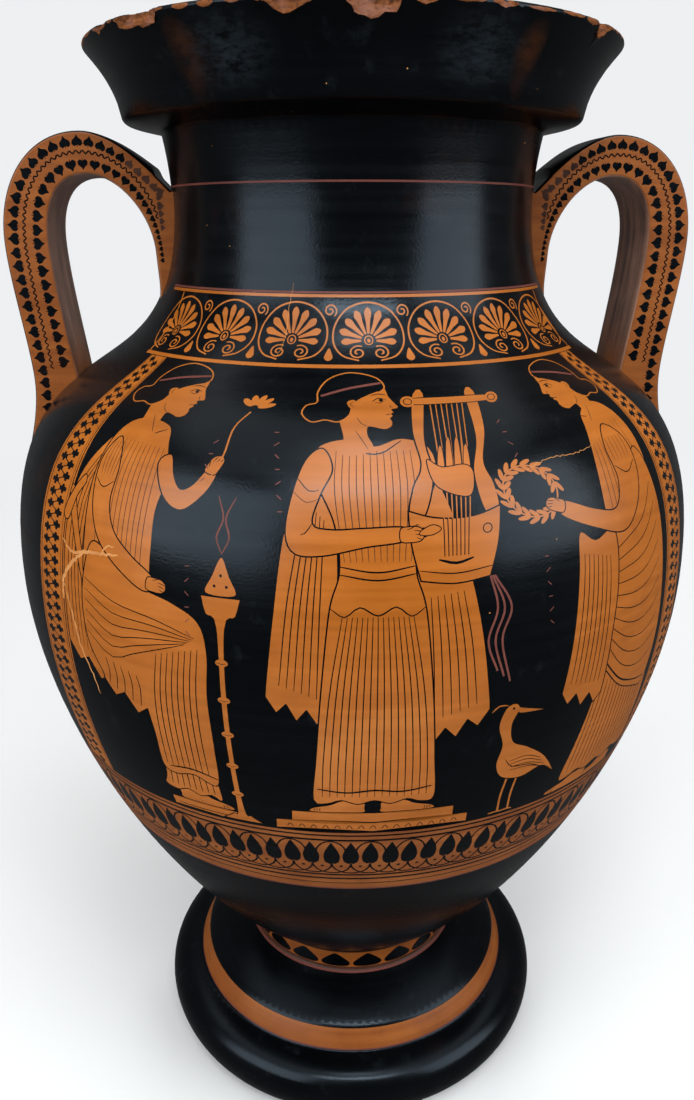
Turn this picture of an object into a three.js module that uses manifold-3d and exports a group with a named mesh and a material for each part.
// Red-figure amphora: one fired clay vessel with a two-stepped foot, a wide neck, a flaring
// mouth and two upright strap handles with flat sides and a shallow channel down the back.
// Millimetres, +Z up, origin at the centre of the foot's underside, handles on +X and -X,
// the side with the main picture towards -Y.
import * as THREE from "three";
import { mergeVertices } from "three/addons/utils/BufferGeometryUtils.js";
import Module from "manifold-3d";

const wasm = await Module();
wasm.setup();

// Foot, from the floor up
const restingRadius = 108;
const footRadius = 128.4;
const mouldingHeight = 39;
const bandHeight = 12.8;
const bandRadius = 107;
const bandTaper = 5.8;
const slopeHeight = 14.2;

// Hollow under the foot
const recessRadius = 94;
const recessDepth = 52;

// Body, from the foot up
const stemRadius = 69.5;
const stemHeight = 19;
const bellyRadius = 191.8;
const bellyHeight = 258.3;
const shoulderHeight = 191.7;
const stemFlare = 3;
const baseAngle = 39.5;
const baseFullness = 0.25;
const bellyFullness = 0.37;
const shoulderFullness = 0.752;
const neckSweep = 0.602;

// Neck and mouth
const neckRadius = 96.5;
const neckHeight = 31.3;
const neckFlare = 3.5;
const mouthFootRadius = 119.5;
const mouthFootStep = 4.8;
const mouthRadius = 136.2;
const mouthHeight = 33.9;
const mouthHollow = 2.4;
const lipWidth = 11;
const lipRounding = 1.6;

// Walls
const wall = 8;
const floorThickness = 14;

// Handles: flat-sided straps, bent in one plane
const strapWidth = 23;
const strapDepth = 44;
const handleInset = 9.8;
const handleTopGap = 5.1;
const archDrop = 52;
const rootDrop = 29;
const rootHeight = 56;
const rootStand = 8.5;
const saddleTop = 14;
const saddleHeight = 30;
const waistInset = 7;
const waistRise = 42;
const landingFlare = 3;
const channelDepth = 2.2;
const flangeWidth = 7;

// Losses along the lip: azimuth from the front, width along the lip, depth below the lip
const lipChips = [
  { azimuth: -1, width: 21, depth: 11.5, bite: 5.0 },
  { azimuth: -15.5, width: 20, depth: 8.0, bite: 3.6 },
  { azimuth: 6.5, width: 20, depth: 5.0, bite: 3.0 },
  { azimuth: -46.5, width: 26, depth: 8.5, bite: 3.8 },
  { azimuth: -60, width: 15, depth: 5.0, bite: 3.0 },
  { azimuth: 49, width: 14, depth: 6.0, bite: 3.2 },
  { azimuth: 21.5, width: 18, depth: 3.6, bite: 2.6 },
];

const roundSegments = 60;
const cavitySegments = 36;

// Heights of the rings where one part of the profile meets the next
const bandZ = mouldingHeight;
const slopeZ = bandZ + bandHeight;
const stemZ = slopeZ + slopeHeight;
const baseZ = stemZ + stemHeight;
const bellyZ = baseZ + bellyHeight;
const neckZ = bellyZ + shoulderHeight;
const neckTopZ = neckZ + neckHeight;
const mouthZ = neckTopZ + mouthFootStep;
const lipZ = mouthZ + mouthHeight;

const point = (radius, z) => new THREE.Vector2(radius, z);

function curve(a, b, c, d, steps) {
  return new THREE.CubicBezierCurve(a, b, c, d).getPoints(steps);
}

// The rounded lower moulding, the upright band and the slope up to the stem
function footProfile() {
  const top = bandRadius;
  const middle = mouldingHeight * 0.56;
  const upper = curve(
    point(footRadius, middle),
    point(footRadius, middle + (mouldingHeight - middle) * 0.62),
    point(top + (footRadius - top) * 0.72, mouldingHeight - 0.6),
    point(top, mouldingHeight - 0.6),
    5,
  );
  const lower = curve(
    point(restingRadius, 0),
    point(restingRadius + (footRadius - restingRadius) * 0.56, 0.8),
    point(footRadius, middle * 0.42),
    point(footRadius, middle),
    5,
  );
  const shoulderOfFoot = point(bandRadius - bandTaper, slopeZ);
  const slope = curve(
    shoulderOfFoot,
    point(stemRadius + (shoulderOfFoot.x - stemRadius) * 0.55, slopeZ + slopeHeight * 0.62),
    point(stemRadius + 3.5, stemZ - 1),
    point(stemRadius, stemZ),
    4,
  );
  return [...lower, ...upper.slice(1), point(bandRadius, bandZ + 0.6), ...slope];
}

// Stem, belly and shoulder up to the foot of the neck
function bodyProfile() {
  const base = point(stemRadius + stemFlare, baseZ);
  const lean = THREE.MathUtils.degToRad(baseAngle);
  const pull = bellyHeight * baseFullness;
  const stem = curve(
    point(stemRadius, stemZ),
    point(stemRadius, stemZ + stemHeight * 0.4),
    point(base.x - stemFlare * 0.8, baseZ - stemHeight * 0.2),
    base,
    2,
  );
  const belly = curve(
    base,
    point(base.x + pull * Math.cos(lean), baseZ + pull * Math.sin(lean)),
    point(bellyRadius, bellyZ - bellyHeight * bellyFullness),
    point(bellyRadius, bellyZ),
    11,
  );
  const shoulder = curve(
    point(bellyRadius, bellyZ),
    point(bellyRadius, bellyZ + shoulderHeight * shoulderFullness),
    point(neckRadius, neckZ - shoulderHeight * neckSweep),
    point(neckRadius, neckZ),
    13,
  );
  return [...stem.slice(1), ...belly.slice(1), ...shoulder.slice(1)];
}

// Neck, the step out under the mouth and the hollow-sided mouth with its lip
function mouthProfile() {
  const middle = point(
    (mouthFootRadius + mouthRadius) / 2 - mouthHollow,
    mouthZ + mouthHeight * 0.47,
  );
  const flare = new THREE.QuadraticBezierCurve(
    point(mouthFootRadius, mouthZ + 1.2),
    point(2 * middle.x - (mouthFootRadius + mouthRadius) / 2, middle.y),
    point(mouthRadius, lipZ - lipRounding),
  ).getPoints(5);
  return [
    point(neckRadius + neckFlare * 0.4, neckZ + neckHeight * 0.6),
    point(neckRadius + neckFlare, neckTopZ),
    point(mouthFootRadius - 1.2, mouthZ - 1),
    ...flare,
    point(mouthRadius - lipRounding, lipZ),
  ];
}

// Radius of the outer wall at a height, read off the profile
function radiusAt(z) {
  const rings = bodyProfile();
  for (let i = 1; i < rings.length; i += 1) {
    if (rings[i].y >= z) {
      const share = (z - rings[i - 1].y) / (rings[i].y - rings[i - 1].y);
      return rings[i - 1].x + share * (rings[i].x - rings[i - 1].x);
    }
  }
  return neckRadius;
}

// Height at which the shoulder has a given radius
function shoulderZAt(radius) {
  let low = bellyZ;
  let high = neckZ;
  for (let i = 0; i < 40; i += 1) {
    const z = (low + high) / 2;
    if (radiusAt(z) > radius) {
      low = z;
    } else {
      high = z;
    }
  }
  return (low + high) / 2;
}

// The space inside: the outer wall moved in by its thickness, down to a rounded floor
function cavityProfile() {
  const floorZ = recessDepth + floorThickness;
  const outer = [point(stemRadius, stemZ), ...bodyProfile()];
  const inner = [];
  for (let i = 2; i < outer.length; i += 2) {
    const before = outer[i - 1];
    const after = outer[Math.min(i + 1, outer.length - 1)];
    const along = after.clone().sub(before).normalize();
    const moved = point(outer[i].x - along.y * wall, outer[i].y + along.x * wall);
    if (moved.y > floorZ + 6) {
      inner.push(moved);
    }
  }
  const lipInside = mouthRadius - lipWidth;
  return [
    point(0, floorZ),
    point(inner[0].x * 0.55, floorZ + 0.8),
    point(inner[0].x * 0.86, floorZ + (inner[0].y - floorZ) * 0.35),
    ...inner,
    point(neckRadius + neckFlare - wall, neckTopZ - 4),
    point(lipInside - 16, mouthZ + mouthHeight * 0.3),
    point(lipInside - 6, mouthZ + mouthHeight * 0.66),
    point(lipInside, lipZ - lipRounding * 0.5),
    point(lipInside + 0.5, lipZ + 5),
    point(0, lipZ + 5),
  ];
}

// The hollow under the foot, open downwards
function recessProfile() {
  const wallFoot = recessRadius - 6;
  return [
    point(0, -5),
    point(recessRadius + 1, -5),
    point(recessRadius, 0.4),
    point(wallFoot, mouldingHeight * 0.3),
    point(Math.min(wallFoot - 10, stemRadius + 4), mouldingHeight * 0.72),
    point(stemRadius - wall * 1.7, recessDepth - 7),
    point(stemRadius - wall * 3.2, recessDepth - 2),
    point(0, recessDepth),
  ];
}

function lathe(profile, segments) {
  return new THREE.LatheGeometry(profile, segments).rotateX(Math.PI / 2);
}

// A closed geometry as a solid that can be joined and cut
function solidOf(geometry) {
  const bare = geometry.clone();
  bare.deleteAttribute("normal");
  bare.deleteAttribute("uv");
  const merged = mergeVertices(bare, 1e-3);
  const corners = merged.index.array;
  const kept = [];
  for (let i = 0; i < corners.length; i += 3) {
    const [a, b, c] = [corners[i], corners[i + 1], corners[i + 2]];
    if (a !== b && b !== c && c !== a) {
      kept.push(a, b, c);
    }
  }
  const mesh = new wasm.Mesh({
    numProp: 3,
    vertProperties: new Float32Array(merged.attributes.position.array),
    triVerts: new Uint32Array(kept),
  });
  return new wasm.Manifold(mesh);
}

function geometryOf(solid) {
  const mesh = solid.getMesh();
  const geometry = new THREE.BufferGeometry();
  geometry.setAttribute("position", new THREE.BufferAttribute(mesh.vertProperties, 3));
  geometry.setIndex(new THREE.BufferAttribute(mesh.triVerts, 1));
  geometry.computeVertexNormals();
  return geometry;
}

// Upper and outer edge of a handle in its own plane, from the neck to the shoulder
function handleOuterEdge() {
  const topZ = mouthZ - handleTopGap;
  const reach = bellyRadius - handleInset;
  const archX = (neckRadius + reach) / 2;
  const landingZ = shoulderZAt(reach + landingFlare);
  const rise = curve(
    point(neckRadius - 1, topZ - rootDrop + 1),
    point(neckRadius + 8, topZ - rootDrop * 0.65),
    point(archX - 18, topZ),
    point(archX, topZ),
    7,
  );
  const arch = curve(
    point(archX, topZ),
    point(archX + (reach - archX) * 0.6, topZ),
    point(reach, topZ - archDrop * 0.45),
    point(reach, topZ - archDrop),
    9,
  );
  const leg = curve(
    point(reach, topZ - archDrop),
    point(reach, topZ - archDrop * 1.42),
    point(reach - waistInset, landingZ + waistRise * 1.45),
    point(reach - waistInset, landingZ + waistRise),
    5,
  );
  const flare = curve(
    point(reach - waistInset, landingZ + waistRise),
    point(reach - waistInset, landingZ + waistRise * 0.7),
    point(reach - waistInset * 0.4, landingZ + waistRise * 0.3),
    point(reach + landingFlare - 0.6, landingZ - 1),
    4,
  );
  return [...rise, ...arch.slice(1), ...leg.slice(1), ...flare.slice(1)];
}

// Lower and inner edge, from the foot of the root on the neck round to the shoulder
function handleInnerEdge() {
  const topZ = mouthZ - handleTopGap;
  const reach = bellyRadius - handleInset;
  const archX = (neckRadius + reach) / 2;
  const inside = reach - strapWidth;
  const innerTop = topZ - strapWidth * 0.88;
  const rootX = neckRadius + rootStand;
  const rootZ = topZ - rootDrop - rootHeight;
  const landingZ = shoulderZAt(inside - 4);
  const root = curve(
    point(rootX + 3, rootZ),
    point(rootX + 0.5, rootZ + rootHeight * 0.2),
    point(rootX, innerTop - archDrop * 0.96),
    point(rootX, innerTop - archDrop * 0.76),
    4,
  );
  const rise = curve(
    point(rootX, innerTop - archDrop * 0.76),
    point(rootX, innerTop - archDrop * 0.4),
    point(archX - 19, innerTop),
    point(archX - 2, innerTop),
    7,
  );
  const arch = curve(
    point(archX - 2, innerTop),
    point(archX + (inside - archX) * 0.65, innerTop),
    point(inside, innerTop - archDrop * 0.24),
    point(inside, innerTop - archDrop * 0.6),
    8,
  );
  const leg = curve(
    point(inside, innerTop - archDrop * 0.6),
    point(inside, innerTop - archDrop * 0.95),
    point(inside - 5, landingZ + 22),
    point(inside - 8, landingZ - 1),
    5,
  );
  return [...root, ...rise.slice(1), ...arch.slice(1), ...leg.slice(1)];
}

// A flat outline in the handle's plane, given depth to either side of it
function slab(outline, depth) {
  const shape = new THREE.Shape(outline);
  const geometry = new THREE.ExtrudeGeometry(shape, { depth, bevelEnabled: false, steps: 1 });
  return geometry.rotateX(Math.PI / 2).translate(0, depth / 2, 0);
}

// The rounded saddle where the back of the strap runs into the neck: a tapered oval bar that
// stays between the strap's flat sides
function saddleSolid() {
  const topZ = mouthZ - handleTopGap;
  const reach = bellyRadius - handleInset;
  const archX = (neckRadius + reach) / 2;
  const from = neckRadius - wall * 0.5;
  const to = archX - 6;
  const length = to - from;
  const endHeight = strapWidth * 0.9;
  const bar = new THREE.CylinderGeometry(endHeight / 2, saddleHeight / 2, length, 20, 1);
  bar.scale((strapDepth - 1) / saddleHeight, 1, 1);
  bar.rotateX(Math.PI / 2);
  bar.rotateY(Math.PI / 2);
  bar.rotateX(Math.PI / 2);
  const positions = bar.getAttribute("position");
  const startZ = topZ - saddleTop - saddleHeight / 2;
  const endZ = topZ - endHeight / 2 - 0.4;
  for (let i = 0; i < positions.count; i += 1) {
    const share = positions.getX(i) / length + 0.5;
    positions.setX(i, from + share * length);
    positions.setZ(i, positions.getZ(i) + startZ + share * (endZ - startZ));
  }
  return solidOf(bar);
}

// One handle: the strap between its two edges, run on into the walls that it is luted to,
// less the shallow channel along its back
function handleSolid() {
  const outer = handleOuterEdge();
  const inner = handleInnerEdge();
  const last = outer[outer.length - 1];
  const wallInside = wall * 0.5;
  const lowInner = inner[inner.length - 1];
  const outline = [
    point(neckRadius - wallInside, inner[0].y),
    point(neckRadius - wallInside, outer[0].y),
    ...outer,
    point(last.x - wallInside, last.y - 2),
    point(lowInner.x, lowInner.y - wallInside),
    ...inner.slice().reverse(),
  ];
  const strap = solidOf(slab(outline, strapDepth)).add(saddleSolid());

  const bottom = outer.length - 7;
  const run = outer.slice(3, bottom);
  const sides = run.map((at, i) => {
    const before = outer[i + 2];
    const after = outer[i + 4];
    const along = after.clone().sub(before).normalize();
    return point(-along.y, along.x);
  });
  const floorOfChannel = run.map((at, i) => {
    const ease = Math.min(1, i / 2, (run.length - 1 - i) / 2);
    return at.clone().addScaledVector(sides[i], 0.3 - (channelDepth + 0.3) * ease);
  });
  const above = run.map((at, i) => at.clone().addScaledVector(sides[i], 4));
  const channel = solidOf(
    slab([...floorOfChannel, ...above.reverse()], strapDepth - 2 * flangeWidth),
  );
  return strap.subtract(channel);
}

// One loss in the lip: a blunt many-sided lump taken out of the edge
function chipSolid({ azimuth, width, depth, bite }) {
  const lump = new THREE.IcosahedronGeometry(1, 1);
  lump.scale(width / 2, bite * 1.7, depth);
  lump.rotateY(azimuth * 0.01);
  lump.translate(0, -(mouthRadius + bite * 0.7), lipZ);
  lump.rotateZ(THREE.MathUtils.degToRad(azimuth));
  return solidOf(lump);
}

function amphoraSolid() {
  const outside = [
    point(0, 0),
    ...footProfile(),
    ...bodyProfile(),
    ...mouthProfile(),
    point(0, lipZ),
  ];
  let vessel = solidOf(lathe(outside, roundSegments));
  for (const turn of [0, Math.PI]) {
    const handle = geometryOf(handleSolid()).rotateZ(turn);
    vessel = vessel.add(solidOf(handle));
  }
  vessel = vessel.subtract(solidOf(lathe(cavityProfile(), cavitySegments)));
  vessel = vessel.subtract(solidOf(lathe(recessProfile(), cavitySegments)));
  for (const chip of lipChips) {
    vessel = vessel.subtract(chipSolid(chip));
  }
  return vessel;
}

const blackGloss = new THREE.MeshStandardMaterial({
  color: 0x15161a,
  roughness: 0.22,
  metalness: 0,
});

const amphora = new THREE.Mesh(geometryOf(amphoraSolid()), blackGloss);
amphora.name = "amphora";

const part = new THREE.Group();
part.add(amphora);

export default part;
